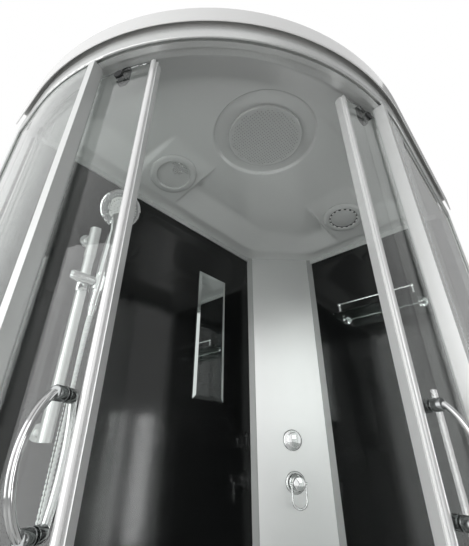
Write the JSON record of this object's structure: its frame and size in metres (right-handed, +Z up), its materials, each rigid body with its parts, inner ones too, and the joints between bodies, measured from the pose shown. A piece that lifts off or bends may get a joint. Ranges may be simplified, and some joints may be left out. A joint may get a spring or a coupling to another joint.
{
  "type": "shower cabin",
  "caption": "Corner shower cabin with an offset rounded glass front, sliding doors on rollers, black wall panels, roof with overhead shower, hand shower on a slide bar and mixer column.",
  "frame": {"origin": "on the floor, under the middle of the cabin's bounding box", "axes": "+Z up; the long wall side is at -X, the short back wall side at +Y, and the rounded glass front faces +X and -Y"},
  "size_m": [0.8, 1.2, 2.141],
  "materials": {
    "white_acrylic": "gloss white acrylic",
    "frame_steel": "zinc-grey steel",
    "satin_aluminium": "satin anodised",
    "clear_glass": "clear, slightly green",
    "black_panel": "gloss black glass",
    "silver_panel": "satin silver",
    "seal_plastic": "translucent grey",
    "chrome_metal": "polished chrome",
    "chrome_plastic": "chromed plastic",
    "black_plastic": "black",
    "grey_plastic": "grey",
    "white_plastic": "white",
    "lamp_white": "opal white",
    "mirror_glass": "silvered, bevelled",
    "brass_body": "cast brass",
    "steel_hose": "spiral metal hose",
    "nylon": "natural nylon"
  },
  "bodies": {
    "frame": {"tray": "white_acrylic", "tray_apron": "white_acrylic", "tray_frame": "frame_steel", "tray_feet": "chrome_metal", "drain_trap": "white_plastic", "bottom_rail": "satin_aluminium", "top_rail": "satin_aluminium", "wall_posts": "satin_aluminium", "door_posts": "satin_aluminium", "post_seals": "seal_plastic", "fixed_glass_left": "clear_glass", "fixed_glass_right": "clear_glass", "wall_panel_left": "black_panel", "wall_panel_back": "black_panel", "panel_rails": "satin_aluminium", "column_panel": "silver_panel", "column_trims": "satin_aluminium", "roof_shell": "white_acrylic", "roof_band": "white_acrylic", "rain_plate": "chrome_metal", "fan_bezel": "chrome_plastic", "fan_grille": "grey_plastic", "fan_housing": "white_plastic", "lamp_bezel": "chrome_plastic", "lamp_lens": "lamp_white", "lamp_housing": "white_plastic", "wall_mirror": "mirror_glass", "shelf_glass": "clear_glass", "shelf_brackets": "chrome_metal", "shelf_gallery": "chrome_metal", "slide_bar": "chrome_metal", "bar_ends": "chrome_metal", "hose_nut_lower": "chrome_metal", "shower_hose": "steel_hose", "hose_outlet": "chrome_metal", "mixer_plate": "chrome_metal", "mixer_valve": "brass_body", "diverter_plate": "chrome_metal", "water_pipes": "brass_body"},
    "left_door": {"door_glass_left": "clear_glass", "door_edge_left": "satin_aluminium", "door_hangers_left": "black_plastic", "door_handle_left": "chrome_metal"},
    "right_door": {"door_glass_right": "clear_glass", "door_edge_right": "satin_aluminium", "door_hangers_right": "black_plastic", "door_handle_right": "chrome_metal"},
    "roller_left_lead": {"roller_left_lead": "nylon"},
    "roller_left_tail": {"roller_left_tail": "nylon"},
    "roller_right_lead": {"roller_right_lead": "nylon"},
    "roller_right_tail": {"roller_right_tail": "nylon"},
    "fan_rotor": {"fan_rotor": "grey_plastic"},
    "drain_cover": {"drain_cover": "chrome_metal"},
    "slider": {"slider": "chrome_metal"},
    "shower_holder": {"shower_holder": "chrome_plastic"},
    "hand_shower": {"hand_shower": "chrome_plastic", "hose_nut_upper": "chrome_metal"},
    "mixer_cap": {"mixer_cap": "chrome_metal"},
    "mixer_lever": {"mixer_lever": "chrome_metal"},
    "diverter_knob": {"diverter_knob": "chrome_metal"}
  },
  "joints": [
    {"name": "left_door_slide", "type": "hinge", "parent": "frame", "child": "left_door", "pos_m": [-0.265, 0.06772, 1.1], "axis": [0, 0, 1], "range_deg": [0, 19.31]},
    {"name": "left_lead_roller_spin", "type": "hinge", "parent": "left_door", "child": "roller_left_lead", "pos_m": [-0.0195, -0.50385, 2.0413], "axis": [0.397, -0.9178, 0], "continuous": true},
    {"name": "left_tail_roller_spin", "type": "hinge", "parent": "left_door", "child": "roller_left_tail", "pos_m": [-0.30145, -0.553, 2.0413], "axis": [-0.063, -0.998, 0], "continuous": true},
    {"name": "right_door_slide", "type": "hinge", "parent": "frame", "child": "right_door", "pos_m": [-0.4692, 0.13656, 1.1], "axis": [0, 0, -1], "range_deg": [0, 14.97]},
    {"name": "right_lead_roller_spin", "type": "hinge", "parent": "right_door", "child": "roller_right_lead", "pos_m": [0.34387, -0.04539, 2.0413], "axis": [0.9644, -0.2643, 0], "continuous": true},
    {"name": "right_tail_roller_spin", "type": "hinge", "parent": "right_door", "child": "roller_right_tail", "pos_m": [0.353, 0.24067, 2.0413], "axis": [0.9793, 0.2023, 0], "continuous": true},
    {"name": "fan_spin", "type": "hinge", "parent": "frame", "child": "fan_rotor", "pos_m": [-0.234, -0.182, 2.07848], "axis": [0.199, 0, -0.98], "continuous": true},
    {"name": "slider_slide", "type": "slide", "parent": "frame", "child": "slider", "axis": [0, 0, 1], "range_m": [-0.238, 0.054], "deforming": ["shower_hose"]},
    {"name": "holder_tilt", "type": "hinge", "parent": "slider", "child": "shower_holder", "pos_m": [-0.3, -0.318, 1.65], "axis": [0, 1, 0], "range_deg": [0, 14], "deforming": ["shower_hose"]},
    {"name": "hand_shower_lift", "type": "slide", "parent": "shower_holder", "child": "hand_shower", "axis": [0, 0.0523, 0.9986], "range_m": [0, 0.06], "deforming": ["shower_hose"]},
    {"name": "mixer_turn", "type": "hinge", "parent": "frame", "child": "mixer_cap", "pos_m": [-0.278, 0.478, 1.2], "axis": [0.7071, -0.7071, 0], "range_deg": [-45, 45]},
    {"name": "mixer_lift", "type": "hinge", "parent": "mixer_cap", "child": "mixer_lever", "pos_m": [-0.24264, 0.44264, 1.2], "axis": [-0.7071, -0.7071, 0], "range_deg": [0, 22]},
    {"name": "diverter_turn", "type": "hinge", "parent": "frame", "child": "diverter_knob", "pos_m": [-0.278, 0.478, 1.326], "axis": [0.7071, -0.7071, 0], "range_deg": [-90, 90]},
    {"name": "drain_cover_lift", "type": "slide", "parent": "frame", "child": "drain_cover", "axis": [0, 0, 1], "range_m": [0, 0.04]}
  ],
  "couplings": [
    {"joint": "left_lead_roller_spin", "follows": "left_door_slide", "ratio": -56.551},
    {"joint": "left_tail_roller_spin", "follows": "left_door_slide", "ratio": -56.526},
    {"joint": "right_lead_roller_spin", "follows": "right_door_slide", "ratio": 75.744},
    {"joint": "right_tail_roller_spin", "follows": "right_door_slide", "ratio": 75.342}
  ]
}
